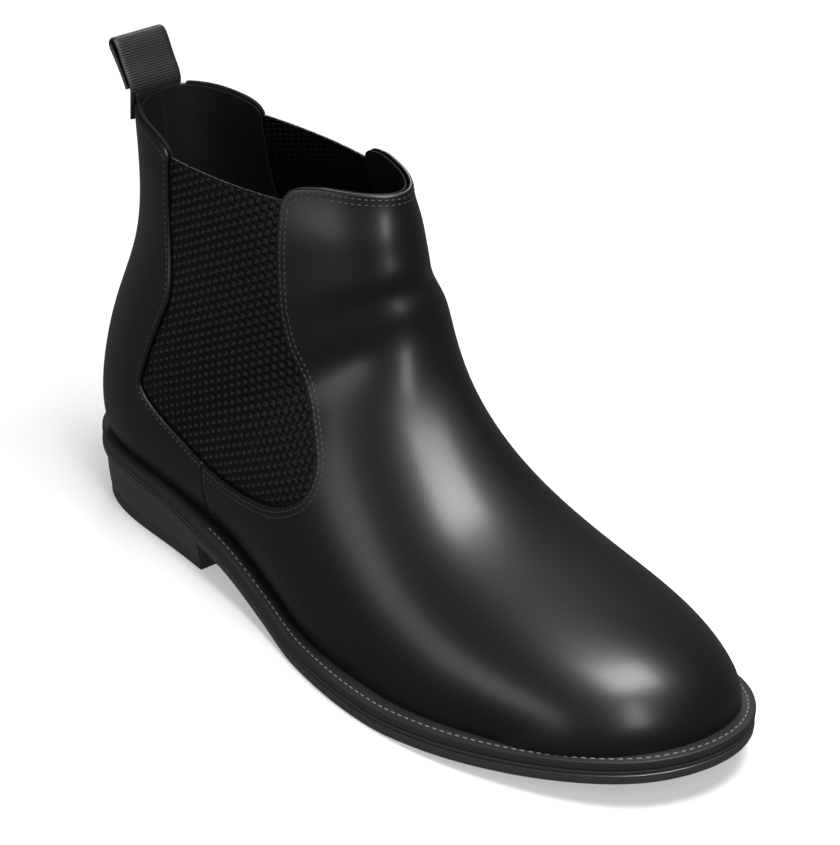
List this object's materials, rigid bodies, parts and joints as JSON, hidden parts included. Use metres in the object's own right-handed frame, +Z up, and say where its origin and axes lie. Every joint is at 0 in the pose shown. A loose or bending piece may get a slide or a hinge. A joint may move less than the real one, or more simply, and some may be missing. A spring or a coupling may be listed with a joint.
{
  "type": "chelsea boot",
  "caption": "Black leather ankle boot with elastic side gores, a webbing pull tab at the back, a stitched welt sole and a low block heel.",
  "frame": {"origin": "centre of the heel's ground face", "axes": "+X from the heel to the toe, +Y to the inner (medial) side of this right boot, +Z up"},
  "size_m": [0.2991, 0.1103, 0.1742],
  "materials": {
    "calf_leather": "polished smooth black calf leather",
    "elastic": "matt black elastic webbing with a raised wavy cord",
    "webbing": "fine ribbed black webbing",
    "lining_leather": "matt black lining leather",
    "stiffener": "stiffener sheet",
    "interlining": "cotton interlining",
    "fibreboard": "cellulose insole board",
    "cork": "cork filler",
    "steel": "steel",
    "brass": "brass",
    "welt_leather": "matt black welt",
    "sole_leather": "black edge-finished leather",
    "sole_rubber": "satin black rubber",
    "heel_stack": "satin black heel stack"
  },
  "bodies": {
    "boot": {"vamp": "calf_leather", "quarter_lateral": "calf_leather", "quarter_medial": "calf_leather", "gore_lateral": "elastic", "gore_medial": "elastic", "toe_puff": "stiffener", "heel_counter": "stiffener", "vamp_interlining": "interlining", "quarter_interlining_lateral": "interlining", "quarter_interlining_medial": "interlining", "vamp_lining": "lining_leather", "back_lining": "lining_leather", "back_strip": "webbing", "collar_piping_lateral": "calf_leather", "collar_piping_medial": "calf_leather", "pull_tab_inner_leg": "webbing", "insole_board": "fibreboard", "sock_liner": "lining_leather", "heel_pad": "lining_leather", "cork_filler": "cork", "shank": "steel", "welt": "welt_leather", "midsole": "sole_leather", "outsole": "sole_rubber", "heel_block": "heel_stack", "heel_top_lift": "sole_rubber", "heel_nails": "steel", "top_lift_brads": "brass"},
    "tab": {"pull_tab": "webbing"}
  },
  "joints": [
    {"name": "pull_tab_fold", "type": "hinge", "parent": "boot", "child": "tab", "pos_m": [-0.024, 0, 0.1564], "axis": [0, 1, 0], "range_deg": [-60, 60], "stiffness_Nm_per_rad": 0.01}
  ]
}
